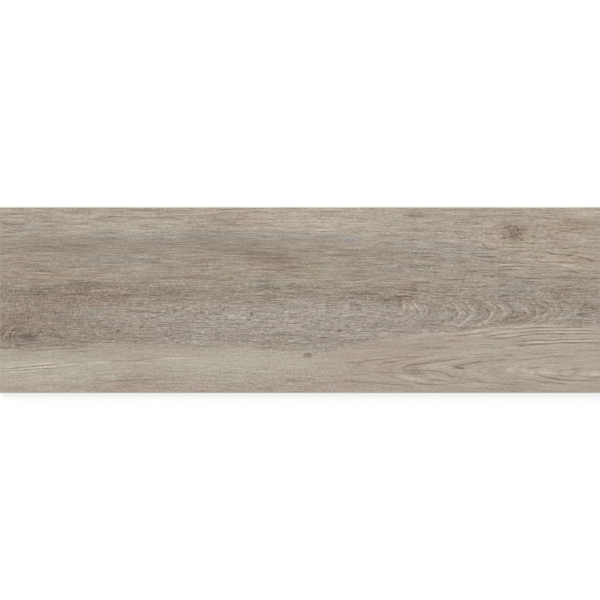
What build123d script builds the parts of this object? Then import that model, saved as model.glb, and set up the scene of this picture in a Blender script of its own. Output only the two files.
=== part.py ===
from build123d import *
import os

# A porcelain plank tile with a printed face, lying face up. Sizes are in millimetres.
# X runs along the length, Y across the width and Z up through the face.
# The origin is the middle of the bedding plane, which the rib crests of the back lie on.

# Outline of the fired and ground tile
tile_length = 598.0
tile_width = 185.0
tile_thickness = 8.0

# Ground edges: a fine arris round the face and a wider chamfer round the back
face_arris = 0.8
back_chamfer = 1.2

# Keying pressed into the back: shallow cells between ribs, inside a plain rim
rim_width = 9.0  # from the side wall to the nearest cell
rib_width = 4.0  # crest between two neighbouring cells
cell_pitch = 41.0  # wanted spacing, which gives way so that whole cells fill the tile
cell_depth = 0.8
cell_draft = 35.0  # degrees that a cell wall leans from the pressing direction
cell_corner_radius = 3.0


def fitted_cells(tile_side):
    # How many whole cells lie along one side of the tile, and their exact spacing
    keyed_span = tile_side - 2 * rim_width
    count = max(1, round((keyed_span + rib_width) / cell_pitch))
    return count, (keyed_span + rib_width) / count


columns, column_pitch = fitted_cells(tile_length)
rows, row_pitch = fitted_cells(tile_width)

# The drafted tooth of the press plate that leaves one cell, mouth down
with BuildPart() as tooth:
    with BuildSketch() as cell_mouth:
        RectangleRounded(column_pitch - rib_width, row_pitch - rib_width, cell_corner_radius)
    extrude(amount=cell_depth, taper=cell_draft)

with BuildPart() as tile:
    # Pressed and fired blank, ground square on all four sides
    with BuildSketch() as outline:
        Rectangle(tile_length, tile_width)
    extrude(amount=tile_thickness)

    # Bevels ground along the edges of the face and of the back
    face_edges = tile.faces().sort_by(Axis.Z)[-1].edges()
    back_edges = tile.faces().sort_by(Axis.Z)[0].edges()
    chamfer(face_edges, length=face_arris)
    chamfer(back_edges, length=back_chamfer)

    # Cells that the bedding mortar keys into, one for each tooth
    with GridLocations(column_pitch, row_pitch, columns, rows):
        add(tooth.part, mode=Mode.SUBTRACT)

tile.part.label = "porcelain_tile"

os.makedirs("parts", exist_ok=True)
export_step(tile.part, "parts/porcelain_tile.step")
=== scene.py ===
import math

import bmesh
import bpy
import numpy as np
from mathutils import Matrix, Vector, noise


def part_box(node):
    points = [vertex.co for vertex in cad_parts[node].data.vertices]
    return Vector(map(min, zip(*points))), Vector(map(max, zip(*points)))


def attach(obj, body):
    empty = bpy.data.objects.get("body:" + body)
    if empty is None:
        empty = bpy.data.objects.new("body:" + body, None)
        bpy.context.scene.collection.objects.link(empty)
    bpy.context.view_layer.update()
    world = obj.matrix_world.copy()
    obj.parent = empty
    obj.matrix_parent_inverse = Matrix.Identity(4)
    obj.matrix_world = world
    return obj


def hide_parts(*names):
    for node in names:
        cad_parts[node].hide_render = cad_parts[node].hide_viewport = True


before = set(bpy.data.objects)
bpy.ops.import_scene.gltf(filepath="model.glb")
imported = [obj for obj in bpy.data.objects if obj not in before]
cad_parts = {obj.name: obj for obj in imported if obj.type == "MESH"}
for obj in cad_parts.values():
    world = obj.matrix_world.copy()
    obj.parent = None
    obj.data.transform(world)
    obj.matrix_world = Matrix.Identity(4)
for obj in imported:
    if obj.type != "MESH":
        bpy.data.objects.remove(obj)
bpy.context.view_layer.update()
tileLow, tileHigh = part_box("porcelain_tile")
mm = 0.001
tileLength = (tileHigh.x - tileLow.x) / mm
tileWidth = (tileHigh.y - tileLow.y) / mm
print("frame: tile", round(tileLength, 1), "x", round(tileWidth, 1), "mm")


# places on the face are millimetres along from the left end and down from the rear edge
# tone, warmth and greenness are steps of an 8 bit picture

# soft patches of the print: along, down, half length, half width, rise of the right end, tone
softPatches = [
    # light board along the rear edge
    (150, 8, 330, 16, 0, 6),
    (450, 8, 260, 16, 0, 5),
    (130, 20, 55, 6, 2, 9),
    (330, 18, 75, 11, 0, 10),
    (224, 16, 34, 6, 0, -8),
    (6, 17, 16, 5, 0, -10),
    (500, 12, 110, 7, -2, -4),
    (576, 17, 16, 6, 0, -13),
    (567.5, 15.5, 7, 4, 0, -10),
    (584, 6, 26, 5, 0, 17),
    (590, 29, 26, 6, 0, 4),
    # darker boards below it
    (90, 37, 150, 8, 2, -10),
    (64, 39, 26, 4, 0, -7),
    (250, 32, 120, 5, 0, -4),
    (235, 41, 45, 6, -4, -11),
    (270, 79.5, 28, 5, 0, 5),
    (450, 8, 30, 5, 0, -3),
    (265, 50, 44, 9, -7, -11),
    (276, 58, 32, 6, -3, -6),
    (120, 55, 150, 10, 3, -7),
    (410, 49, 120, 14, 0, -8),
    (455, 36, 60, 9, 0, 8),
    (548, 52, 70, 13, -4, 9),
    (25, 66, 50, 5, 0, -8),
    (90, 44, 130, 5, 0, -6),
    (30, 33, 30, 4, 0, -3),
    (575, 41, 30, 8, 0, 6),
    (210, 67.6, 32, 5, 0, -5),
    (450, 67.6, 40, 6, 0, 5),
    (578, 68, 26, 4, 0, -4),
    (330, 69, 190, 7, 0, -5.5),
    # the dark rough board
    (90, 81, 120, 10, 0, -12),
    (84, 77, 17, 4, 0, -18),
    (45, 98, 75, 15, 0, -15),
    (30, 127, 90, 13, 0, -17),
    (27, 129.5, 15, 7, 0, -5),
    (230, 85, 190, 8, 2, -11),
    (358, 87, 15, 5, 0, -16),
    (350, 86, 70, 9, 0, -5),
    (225, 93, 50, 4, 0, -6),
    (400, 92, 16, 5, 0, -13),
    (415, 81, 18, 4, 0, -8),
    (300, 108, 140, 13, 3, 6),
    (150, 122, 60, 10, 0, -4),
    (310, 132, 60, 7, -4, -6),
    (500, 97, 110, 16, 2, -7),
    (558, 85, 14, 5, 0, -12),
    (582, 100, 18, 6, 0, -5),
    (520, 110, 20, 5, 4, -6.5),
    (478, 104, 60, 7, 0, 7),
    (240, 104, 60, 6, 0, 3),
    (95, 104, 30, 5, 0, 5),
    (150, 103.5, 26, 5, 0, -3),
    (575, 79.5, 28, 5, 0, -6),
    (570, 127.5, 28, 5, 0, 4),
    (25, 113.5, 40, 8, 0, -10),
    (578, 114.5, 26, 4, 0, -5),
    (330, 127, 75, 6, 0, 5),
    # the pale board along the front edge
    (60, 160, 110, 13, 4, 12),
    (232, 156, 90, 12, 0, 10),
    (135, 176, 40, 9, 0, -8),
    (420, 158, 90, 9, 2, -5),
    (475, 143, 60, 6, 2, 4),
    (560, 160, 60, 9, 0, 4),
    (330, 180, 330, 6, 0, -3),
    (410, 139.5, 50, 6, 0, -8),
    (120, 148, 110, 6, 0, -7),
    (485, 151, 50, 5, 0, 4),
    (150, 163, 100, 8, 0, -8),
    (300, 174, 60, 7, 0, -5),
    (572, 175, 30, 5, 0, 4),
    (480, 164, 50, 6, 0, -4),
]

# fields of one hue: along, down, half length, half width, rise of the right end, warmth, greenness
hueFields = [
    # cool grey
    (225, 30, 150, 5, 1, -5.6, 0),
    (140, 24, 58, 6, 0, -2.5, 0),
    (380, 36, 38, 5, -5, -2.5, 0),
    (450, 44, 52, 8.5, -4, -5.8, -0.7),
    (120, 55, 46, 6, 4, -5.4, -0.2),
    (26, 23, 13, 5.5, 0, -5.2, -0.6),
    (300, 114, 165, 20, 2, -5.6, -1.4),
    (190, 135, 34, 6, 0, -2.7, 0),
    (315, 138, 22, 7, 0, -4, -0.5),
    (88, 106, 42, 5, 0, -4.9, -0.3),
    (512, 86, 28, 10, 6, -5.6, -0.9),
    (495, 107, 48, 7, 5, -2.9, 0),
    (578, 111, 24, 8, 0, -4.5, 0),
    (590, 88, 12, 8, 0, -2.7, 0),
    (262, 78, 38, 4, 0, -4.5, 0),
    (410, 63, 32, 4, 0, -4.5, 0),
    (28, 129.5, 9, 5, 0, -5.6, 0.3),
    # warm brown
    (32, 67, 36, 5, 0, 4.2, -1.1),
    (100, 69, 110, 7, 1, 2.7, 0),
    (30, 54, 40, 6, 0, 2, -0.6),
    (232, 12, 34, 6, 0, 3.8, -0.5),
    (545, 28, 70, 32, 0, 3.6, 0),
    (575, 15, 16, 6, 0, 3.4, -1.4),
    (580, 55, 26, 7, 0, 4.5, 0),
    (547, 64, 12, 5, 0, 2.7, 0),
    (255, 52, 60, 15, 0, 2.7, 0),
    (265, 68, 60, 6, 0, 2, 0),
    (60, 90, 90, 12, 0, 3.1, -1.1),
    (160, 82, 60, 6, 2, 2, -0.9),
    (405, 78, 18, 6, 0, 4, -0.5),
    (409, 95, 13, 6, 0, 4.5, -1.1),
    (561, 86, 11, 6.5, 0, 2.6, -0.9),
    (568, 99, 10, 5, 0, 3, -0.7),
    (518, 112, 13, 6, 0, 2.4, -0.5),
    (360, 86, 13, 5, 0, 2.4, -0.8),
    (365, 74, 40, 5, 0, 1.8, 0),
    (28, 112, 50, 14, 0, 2.5, -1.8),
    (388, 148, 46, 16, 0, 2.7, -1.6),
    (470, 132, 44, 5.5, 0, 2.2, -1.4),
    # a shade greener
    (62, 160, 66, 21, 0, -0.9, 2.3),
    (238, 157, 92, 20, 0, -0.9, 2.3),
    (380, 19, 25, 18, 0, 0, 2),
    (323, 60, 26, 16, 0, 0, 1.8),
    (125, 21, 76, 5, 3, 0, 1.4),
    (30, 46, 32, 4, 0, 0, 1.3),
    (130, 45, 72, 5, 0, 0, 1),
    (125, 71, 28, 4, 0, 0, 1),
    (228, 71, 32, 4, 0, 0, 1),
    (276, 79, 16, 4, 0, 0, 1.5),
    (222, 89, 42, 4.5, 7, 0, 1.3),
    (130, 95, 35, 5, 0, 0, 0.9),
    (82, 118, 26, 10, 0, 0, 0.9),
    (350, 82, 12, 8, 0, 0, 1),
    (421, 62, 22, 6, 0, 0, 0.9),
    (488, 69, 14, 11, 0, 0, 1.4),
    (473, 87, 19, 6, 0, 0, 1.4),
    (460, 28, 32, 6, 0, 0, 1),
    (376, 132, 26, 4.5, 0, -1.1, 1.4),
    (488, 141, 52, 4.5, 0, -1.1, 1.8),
    (582, 7, 24, 6, 0, -2.7, 1.6),
    (592, 29, 14, 4, 0, -1.7, 1.6),
    # a shade pinker
    (20, 133, 34, 9, 0, 0.9, -1.7),
    (490, 29, 14, 6, 0, 0.4, -2.5),
    (512, 25, 17, 7.5, 0, 1.3, -2.1),
    (591, 100, 13, 7, 0, 0, -3.2),
    (299, 183, 330, 4.5, 0, 0, -1.8),
    (416, 20, 13, 17, 0, 0, -1.4),
    (560, 149, 24, 13, 0, 0, -1),
    (40, 9, 26, 4, 0, 1.1, -1.1),
    (130, 7, 60, 4.5, 0, 1.3, -1.1),
    (250, 8, 52, 5, 0, 0.9, -0.9),
    (268, 55, 26, 12, 0, 0, -1.4),
    (196, 61, 20, 8, 0, 0, -1.3),
    (24, 60, 28, 13, 0, 0, -0.8),
    (138, 156, 20, 13, 0, 0.9, -0.9),
    (130, 179, 35, 7, 0, 1.6, -2),
    (215, 181, 50, 5, 0, 1.2, -1.6),
    (325, 172, 30, 13, 0, 1.6, -2.6),
]

# where the dark rough board begins and ends: along, down
darkBoardTop = [(0, 75), (110, 76), (160, 83), (240, 87), (330, 87), (400, 85), (470, 78), (598, 74)]
darkBoardEdge = [
    (0, 141), (20, 142), (60, 141.5), (110, 138.5), (160, 139), (200, 141), (240, 137), (275, 143),
    (330, 144), (352, 136), (400, 128), (440, 126), (470, 123), (498, 119), (530, 117.5), (598, 117.5),
]

# how far its foot blends into the pale board: along, half width
darkBoardBlur = [(0, 1.6), (70, 2), (120, 5), (310, 4.5), (350, 2.4), (598, 2)]

# grain that swells round a knot: along, down, half length, half width, swell
grainSwells = [
    (513, 25, 42, 12, 5.0),
    (28, 129, 30, 10, 3.0),
    (307, 147, 12, 4, 1.6),
    (400, 92, 22, 8, 2.0),
]

# grain that leans: along, down, half length, half width, drop to the right
grainLeans = [
    (490, 46, 100, 20, 4),
    (60, 160, 70, 16, -5),
    (330, 160, 60, 14, 2),
]

# growth rings that close in arches or round a knot, or slope to the right end, each in its own stretch
ringFigures = [
    {
        "centre": (299, 103.4), "squeeze": 0.17, "spacing": 0.8, "strength": 0.65,
        "along": (398, 572), "down": (92, 118), "soft": (14, 5), "wave": (14, 7, 1.0),
    },
    {
        "centre": (647, 162), "squeeze": 0.081, "spacing": 1.0, "strength": 0.55,
        "along": (345, 640), "down": (132, 184), "soft": (30, 9), "wave": (70, 12, 1.6),
    },
    {
        "centre": (28.5, 128.3), "squeeze": 0.55, "spacing": 2.0, "strength": 0.35,
        "along": (4, 48), "down": (120, 137), "soft": (12, 5), "wave": (14, 7, 1.2),
    },
    {
        "centre": (300, 455), "squeeze": 0.3, "spacing": 2.1, "strength": 0.65,
        "along": (455, 640), "down": (37, 76), "soft": (40, 8), "wave": (40, 10, 1.0),
    },
    {
        "centre": (513, 25.5), "squeeze": 0.55, "spacing": 2.4, "strength": 0.3,
        "along": (498, 532), "down": (18, 34), "soft": (14, 6), "wave": (14, 7, 1.2),
    },
]

# speckled hearts of the knots, where the straight grain fades:
# along, down, half length, half width, speckle
knotHearts = [
    (512, 26, 12, 7.6, 0.8),
    (28, 129, 13, 6, 0.25),
]

# single lines drawn through points: half width, tone, warmth, points
drawnLines = [
    # straight pairs across the left of the pale board
    (0.7, 22, 0, [(0, 159.1), (6, 158.4), (18, 158.1), (26, 157.4), (34, 156.4), (43, 155.6), (57, 154.7)]),
    (0.6, -27, 0, [
        (0, 160.7), (13, 160.5), (21, 159.7), (31, 158.6), (41, 157.9), (51, 156.7),
        (57, 156.4),
    ]),
    (0.7, 23, 0, [
        (0, 161.7), (15, 161.6), (26, 160.7), (41, 159.6), (51, 158.6), (61, 157.8),
        (67, 156.7), (76, 156.1),
    ]),
    (0.6, -26, 0, [
        (0, 163.3), (9, 163.2), (15, 162.4), (21, 162.4), (31, 161.5), (41, 160.8),
        (53, 160.1), (64, 159.4),
    ]),
    (0.7, 18, 0, [(0, 164.6), (11, 164.6), (18, 163.8), (27, 163.6), (41, 162.3), (51, 161.6)]),
    (0.6, -17, 0, [(0, 165.6), (13, 165.5), (27, 164.8), (36, 163.6), (46, 163.4), (57, 162.4)]),
    (0.6, -17, 0, [(70, 154.4), (78, 154.4), (86, 154.6)]),
    (0.7, 18, 0, [(84, 155.7), (96, 155.5), (101, 154.7), (112, 154.6)]),
    (0.7, -32, 3, [(108, 153.3), (135, 152.7), (150, 151.1), (164, 150.6)]),
    (0.7, 20, 0, [(150, 151.8), (165, 150.4), (185, 150.1), (204, 150.6)]),
    (0.7, -15, 1, [(104, 172), (120, 172.5), (140, 172.2), (160, 171.4)]),
    # foot of the dark board
    (0.78, -22, 0, [(12, 138.6), (22, 142.2), (35, 142.8), (50, 141.4), (65, 140.8), (84, 140.7)]),
    (0.62, -24, -2, [(78, 143.4), (88, 143.4)]),
    # lines that fan out to the right end
    (1.0, 19, -1, [
        (412, 126.8), (433, 126.4), (448, 126), (456, 125.7), (466, 124.7), (474, 123.3),
        (488, 122),
    ]),
    (0.8, 17, 0, [(486, 120.4), (498, 119.6), (508, 119.4)]),
    (0.8, 22, 0, [(508, 119.3), (516, 119.6), (523, 118.8), (533, 118.3), (552, 118.3), (575, 118.1)]),
    (0.8, -26, 1, [
        (497, 121.9), (508, 121.4), (518, 121.5), (526, 120.6), (541, 119.7), (552, 119.6),
        (588, 119.7),
    ]),
    (0.8, 24, 0, [(470, 123.8), (478, 122.6), (486, 122.6)]),
    (0.8, 26, 0, [
        (485, 126.8), (492, 125.6), (496, 124.6), (503, 123.8), (513, 123.3), (522, 122.3),
        (530, 121.9),
    ]),
    (0.8, 24, 0, [(530, 121.9), (543, 121.8), (558, 121.5), (573, 121.1), (596, 121.1)]),
    (0.75, -26, 1, [
        (510, 125.8), (520, 125.1), (528, 124.1), (541, 123.5), (562, 122.9), (578, 123.3),
        (597, 123.1),
    ]),
    (0.7, -28, 0, [(453, 127.8), (461, 127.6), (468, 126.7), (476, 126.1), (486, 125.6)]),
    (0.7, 19, 0, [(466, 128), (476, 127.5), (482, 127.2)]),
    (0.7, -24, 0, [(482, 128.7), (486, 128.7), (493, 127.6), (501, 126.3), (506, 126)]),
    (0.75, 22, 0, [
        (486, 129.7), (493, 129.3), (503, 128.3), (510, 127.5), (518, 127.1), (526, 125.8),
        (533, 125.1),
    ]),
    (0.75, 22, 0, [(533, 125.1), (543, 124.7), (558, 124.3), (588, 124.3)]),
    (0.8, -37, 3, [
        (486, 130.7), (501, 130.5), (509, 129.5), (518, 128.3), (525, 127.5), (531, 126.7),
        (541, 126),
    ]),
    (0.8, -35, 3, [(534, 126.5), (543, 125.9), (550, 125.9), (558, 126.5), (566, 126.8)]),
    (0.7, -26, 2, [(570, 125.9), (584, 125.9), (597, 125.7)]),
    (0.8, 16, 0, [(519, 129), (528, 128.3), (538, 128.3)]),
    (0.8, 15, 0, [(557, 128.3), (573, 128.3), (597, 127.9)]),
    (0.7, -16, 2, [(540, 129.6), (557, 129.4), (575, 128.9), (597, 128.9)]),
    (0.75, 19, 1, [(540, 130.9), (557, 130.5), (574, 130.1), (588, 130.3)]),
    (0.8, -35, 2, [
        (507, 134.6), (517, 133.6), (528, 133.1), (538, 132.7), (550, 132.5), (558, 131.6),
        (580, 131.3), (597, 131),
    ]),
    (0.8, 24, 0, [(524, 135.2), (533, 134.7), (552, 134.1), (562, 133.3), (573, 133), (597, 132.8)]),
    (0.85, -37, 2, [
        (508, 137.7), (517, 138), (526, 137.2), (538, 136.4), (547, 135.8), (558, 135.2),
        (573, 134.8),
    ]),
    (0.85, -35, 2, [(562, 135.1), (573, 134.8), (588, 134.8), (597, 135.4)]),
    (1.4, 10, 1, [(546, 137.4), (560, 136.8), (582, 137.7), (597, 138.2)]),
    (0.7, -15, 1, [(570, 142.4), (584, 142.4), (597, 142.4)]),
    (0.7, -14, 2, [(462, 138), (470, 138), (480, 137.4)]),
    (0.7, -15, 2, [(478, 136.9), (487, 136.9), (495, 137)]),
    (0.7, -14, 1, [(478, 139.8), (487, 139.9), (503, 139.7)]),
    (0.7, -15, 2, [(420, 139.8), (436, 139.6), (448, 139.8)]),
    (0.7, -16, 2, [(434, 130.8), (442, 130.8)]),
    (0.7, -15, 2, [(446, 132.9), (457, 132.7)]),
    # pointed arches in the right half of the pale board
    (0.69, -34, 2, [(344, 155.7), (351, 154.5), (357, 156.8), (360, 156.4)]),
    (0.62, -30, 2, [(352, 154.7), (362, 153.6), (370, 152.5), (378, 151.2), (392, 149.7), (424, 148.2)]),
    (0.62, -29, 2, [(372, 155.7), (379, 156.5), (387, 154.7), (394, 153.4)]),
    (0.62, -34, 2, [(381, 154.6), (383, 153.4), (385, 154.2)]),
    (0.69, -30, 3, [
        (396, 161.2), (400, 159.7), (408, 157.5), (418, 156.2), (428, 154.9), (452, 151.7),
        (466, 149.4),
    ]),
    (0.69, -30, 3, [(396, 161.2), (404, 161.4), (416, 162.4), (428, 162.5), (436, 163.5), (446, 165)]),
    (1.4, -13, 2, [(444, 164.6), (448, 168), (452, 169.6)]),
    (0.83, -43, 4, [(452, 158.7), (456, 160), (463, 160.7)]),
    (0.69, -33, 2, [(454, 158.7), (463, 156.2), (473, 155), (483, 153.5), (495, 152.2), (506, 150.9)]),
    (0.62, -20, 2, [(462, 147.2), (478, 146.4), (492, 145.6)]),
    (0.62, -22, 2, [(470, 149.8), (490, 148.8), (508, 147.4)]),
    (0.83, -30, 2, [(505, 147.9), (511, 147.2)]),
    (0.62, -30, 2, [(512, 153), (533, 151), (546, 149), (558, 148.8), (568, 148.5), (578, 147.6)]),
    (0.55, -20, 1, [(530, 146.8), (543, 145.6), (552, 144.8)]),
    (0.62, -22, 1, [(522, 160.2), (533, 159.7), (548, 158.7), (563, 157.6), (580, 156.6)]),
    (0.9, -27, 3, [(576, 160.9), (563, 161.6), (557, 163.6), (555, 166), (560, 168.1), (572, 169)]),
    (0.69, -33, 1, [(568, 166.6), (578, 168.4), (588, 169.1), (598, 168.3)]),
    (0.55, -18, 1, [(568, 166.2), (578, 163.6), (588, 162.1), (598, 161.2)]),
    (0.83, -37, 2, [
        (532, 166.4), (543, 169.1), (551, 170.4), (560, 171.8), (573, 172.4), (588, 172.4),
        (598, 172.6),
    ]),
    (0.69, -31, 1, [(522, 171.4), (533, 172.1), (539, 174.1), (548, 174.5), (560, 175.2)]),
    (0.62, -20, 1, [(552, 175), (568, 176.9), (578, 177.6), (598, 177.6)]),
    (0.62, -20, 2, [(448, 171.9), (470, 172.2), (485, 174.6), (505, 175.6), (522, 175.6)]),
    (0.62, -22, 1, [(462, 180), (488, 181), (508, 182.6), (522, 183)]),
    (0.62, -29, 2, [(342, 172.8), (366, 174.6), (384, 176.2), (402, 177)]),
    (0.62, -20, 2, [(365, 163.6), (383, 164.6), (403, 165), (424, 165.6)]),
    (0.62, -18, 2, [(396, 175.4), (408, 178.2), (412, 180.4)]),
    (0.62, -20, 2, [(412, 176), (438, 176.6), (470, 173.8)]),
    (2, 13, -1, [(392, 167), (406, 169.2), (418, 172.2), (426, 173.8)]),
    (3.2, 10, -1, [(418, 158.6), (436, 158.4), (452, 159.6)]),
    (3, 11, -1, [(462, 163.4), (484, 163.6)]),
    (3.4, 13, -1, [(502, 161), (520, 162), (534, 166)]),
    (2.4, 13, 1, [(536, 165), (551, 165.4)]),
    (2.8, 14, 1, [(576, 166), (598, 165.4)]),
    # nested arches that point right, in the dark board
    (0.75, 38, 1, [(400.4, 91.5), (402.9, 94.5), (402.9, 102.4), (401.4, 104.4)]),
    (0.75, 30, 0, [(412.3, 93.5), (413.3, 96.5), (415.3, 100.5), (418.3, 103.4)]),
    (0.9, -22, 0, [(414.5, 101), (416.5, 104.5), (417, 109)]),
    (1.0, 12, 0, [(419, 105), (421, 108), (419, 111.6)]),
    (0.8, -20, 0, [(428, 99.6), (438, 98.9), (449, 100.4), (454, 103)]),
    (0.8, 13, 0, [(436, 104), (439, 108), (437, 112)]),
    (0.8, 22, 0, [(452, 99.5), (456, 102.4), (458.4, 105.4), (456.4, 109.4), (449, 114.4), (440, 119)]),
    (1.5, -22, 2, [(446, 102.6), (452, 104), (456, 106.4), (452.4, 109.4), (446, 112.6)]),
    (0.8, -24, 0, [(446, 114.6), (449, 113.4), (452, 111.6)]),
    (0.8, -24, 0, [(459, 100.6), (463, 103), (466, 106), (464.6, 109.4)]),
    (0.8, 18, 0, [(463, 101.4), (468.4, 105.6), (467.4, 111), (461, 116), (452, 120)]),
    (0.8, -15, 0, [(470, 99), (476, 103), (477.4, 106), (474, 110)]),
    (0.8, -24, 0, [(478, 98.6), (484, 101.6), (488, 105.4), (486, 109.6)]),
    (0.8, 22, 0, [(484, 99.4), (488.8, 103.5), (490, 106.4), (487, 110.8), (479, 115.4), (468, 119)]),
    (1.0, -24, 1, [(482, 112), (487, 111.4), (492, 109.6)]),
    (0.9, -22, 2, [(470, 114.6), (475, 112.6), (481, 112)]),
    (0.8, -24, 0, [(490, 95.6), (497, 101.4), (500, 104.5)]),
    (0.8, 19, 0, [(495, 96), (501, 101.4), (503, 105.4), (500, 109)]),
    (0.8, -14, 0, [(503, 97), (509, 102), (510.6, 105), (507, 109)]),
    (0.8, 22, 1, [(518, 97), (524, 101.4), (526.4, 104.4), (524, 107.6), (517, 112)]),
    (1.9, -20, 3, [(510, 104.4), (517, 105), (523, 105.6), (517, 108), (508, 110.6)]),
    (0.8, -26, 1, [(530, 97.4), (538, 99.6), (546, 101.8), (541, 105.6), (535, 107.6)]),
    (0.8, 13, 0, [(538, 97), (547, 99.4), (550.6, 102.4), (546, 106.4), (536, 110)]),
    (0.9, -18, 0, [(420, 113.4), (438, 112.6), (446, 113.6)]),
    (0.9, -17, 0, [(412, 118), (430, 117.4), (442, 116.6)]),
    (1.0, -18, 2, [(494, 113.6), (506, 111), (518, 108.8)]),
    (1.2, -16, 4, [(502, 116.2), (514, 114.2), (526, 111)]),
    (0.8, 16, 0, [(526, 112.2), (536, 109.4), (544, 106.4)]),
    (0.8, 19, 0, [(550, 112.4), (564, 109.6), (571, 105.8), (577, 103.4)]),
    (1.2, -24, 2, [(574, 107.4), (582, 106.4), (588, 106)]),
    (2.0, -19, 1, [(580, 97.8), (588, 99.6), (596, 102.4)]),
    (0.9, -22, 2, [(394, 89.4), (402, 88.4), (412, 90.2)]),
    (0.9, -20, 2, [(396, 93.6), (400, 92.4)]),
    (0.8, -18, 0, [(456, 90.6), (468, 91.6), (480, 93.4), (486, 94)]),
    (0.8, -16, 0, [(462, 96), (474, 98), (482, 97)]),
    (0.9, -18, 3, [(549, 89.6), (556, 91.6), (565, 91)]),
    # dark and light strands of the rear boards
    (0.67, -24, 2, [(244, 46.9), (258, 46.5), (272, 46.2)]),
    (0.67, -31, 1, [(298, 44.2), (310, 44.2), (322, 44.4)]),
    (0.67, -26, 0, [(327, 47.8), (344, 48.2), (360, 47.3)]),
    (0.67, -23, 0, [(336, 42.9), (350, 42.6), (366, 42.4)]),
    (0.67, -34, 0, [(416, 64.2), (428, 64.8), (438, 65.2)]),
    (0.67, -30, 0, [(438, 71.6), (453, 72.2), (466, 71.7)]),
    (0.8, -66, 1, [(543, 44.8), (547.5, 46), (551.5, 47), (557.4, 47.7), (564.4, 48.2), (572.4, 48.2)]),
    (0.67, -30, 2, [(570, 51.6), (588, 53.3), (596, 54)]),
    (0.67, -27, 2, [(555, 54.8), (571, 56)]),
    (0.67, -26, 2, [(574, 57.6), (586, 59.6)]),
    (0.76, -22, 0, [(552, 70.6), (575, 71), (598, 71)]),
    (0.67, -26, 1, [(450, 15.9), (481, 16.3)]),
    (0.67, -30, 2, [(424, 14.8), (437, 15.1)]),
    (0.76, 26, 1, [(422, 13.8), (434, 13.3), (444, 11.8)]),
    (0.8, -34, 2, [(556.4, 24.5), (562.4, 24.1), (568.4, 23.2), (576.8, 23.2)]),
    (1.0, -20, 2, [(560.4, 12.4), (567.4, 12.2), (577.3, 11.6)]),
    (0.75, -28, 1, [(541, 28.1), (545.5, 28.3), (549.5, 29.5)]),
    (0.8, -34, 0, [(528.6, 36.3), (533, 36.1)]),
    (0.8, -34, 0, [(534, 39.2), (539, 39.3)]),
    (0.8, -22, 0, [(528.6, 29.4), (533, 29.3)]),
    (0.8, -34, 1, [(575.3, 49.2), (580.3, 50.6), (585.3, 51.7), (589.2, 53.1)]),
    (0.7, -22, 1, [(547, 36.1), (552.5, 36.8), (558.4, 37.6)]),
    (0.8, -22, 1, [(560.4, 41.2), (565.4, 41.2)]),
    (0.7, -22, 1, [(570.4, 39.8), (577.3, 39.8)]),
    (0.7, -20, 0, [(479.9, 35.9), (482.4, 37.9), (485, 39.9)]),
    (1.73, -25, 3, [(404, 8.2), (416, 9), (424, 10)]),
    (0.76, 18, 1, [(186, 7.2), (206, 6.6), (222, 5.4)]),
    (0.76, 14, 4, [(24, 66.4), (44, 66), (62, 66.4)]),
    (0.76, -20, 1, [(160, 70.2), (192, 70.4)]),
    (0.67, -17, 1, [(240, 50.9), (262, 50.6), (284, 51.2), (299, 50.8)]),
    (0.67, -23, 1, [(261, 54.8), (276, 54.4), (289, 54.9)]),
    (0.67, -21, 2, [(264, 62.8), (284, 62.5)]),
    (0.67, -23, 1, [(276, 46.9), (291, 46.6)]),
    (0.67, 21, 0, [(257, 33.6), (268, 33.2), (279, 33.4)]),
    (0.67, 20, 0, [(339, 41.4), (352, 41.1), (364, 41.2)]),
    (0.67, 20, 1, [(239, 66.8), (255, 66.5)]),
    (0.67, 20, 1, [(289, 66.7), (304, 66.6)]),
    (0.67, -26, 1, [(40, 15.2), (60, 14.8)]),
    (0.67, -23, 1, [(100, 10.2), (120, 9.8), (140, 10)]),
    (0.67, -23, 1, [(96, 48.9), (110, 48.6)]),
    (0.76, -26, 0, [(149, 54.8), (160, 54.6)]),
    (0.67, -21, 1, [(189, 55.8), (209, 55.5)]),
    # dark strands of the dark board
    (0.76, -21, 1, [(8, 84.2), (26, 84), (45, 84.3)]),
    (0.76, -23, 1, [(28, 87), (50, 86.8)]),
    (0.67, -23, 0, [(262, 79.4), (290, 80.2), (316, 81), (332, 81.2)]),
    (0.67, -23, 0, [(222, 116.5), (240, 116.2)]),
    (0.67, -21, 0, [(300, 116.2), (322, 116.4)]),
    (0.67, -26, 0, [(258, 127), (276, 126.7), (290, 127.2)]),
    (0.76, -26, 0, [(206, 100.6), (226, 100.4)]),
    # curls in the knot of the light board
    (0.8, -35, 2, [(501.8, 21.1), (504.3, 19.5), (506.7, 18.9), (509.7, 19.1)]),
    (0.8, -30, 2, [(504.8, 21.9), (507.2, 23.7), (510.2, 23.1)]),
    (0.8, -35, 2, [(511.7, 19.2), (514.7, 20.3), (516.2, 22.5), (514.2, 24.4)]),
    (1.3, -26, 2, [(506.3, 27.9), (509.2, 26.9), (512.7, 25.5), (516.2, 25.3)]),
    (1.2, -26, 2, [(506.7, 29.9), (510.7, 28.5), (514.7, 28.3), (517.7, 26.3)]),
    (0.8, -27, 2, [(507.2, 32.7), (510.2, 31.5), (512.7, 32.2)]),
    (0.7, -33, 1, [(515.2, 30.1), (517.7, 31.3), (519.3, 33.5), (521.2, 32.1)]),
    (0.8, -19, 1, [(519.7, 20.9), (523.1, 22.4), (524.9, 24.9)]),
    (0.7, -19, 1, [(498.8, 31.5), (501.8, 30.5), (504.3, 31.7)]),
    # heart and rings of the knot in the dark board
    (0.8, -30, -1, [(22.7, 129.1), (26.6, 129.3), (29.6, 128.5), (32.6, 129), (36.6, 127.9)]),
    (0.8, -23, -1, [(30.1, 127.5), (31.6, 125.7), (32.9, 124.1)]),
    (0.8, -20, 0, [(18.2, 125.3), (19.7, 123.7), (21.7, 122.9)]),
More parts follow.
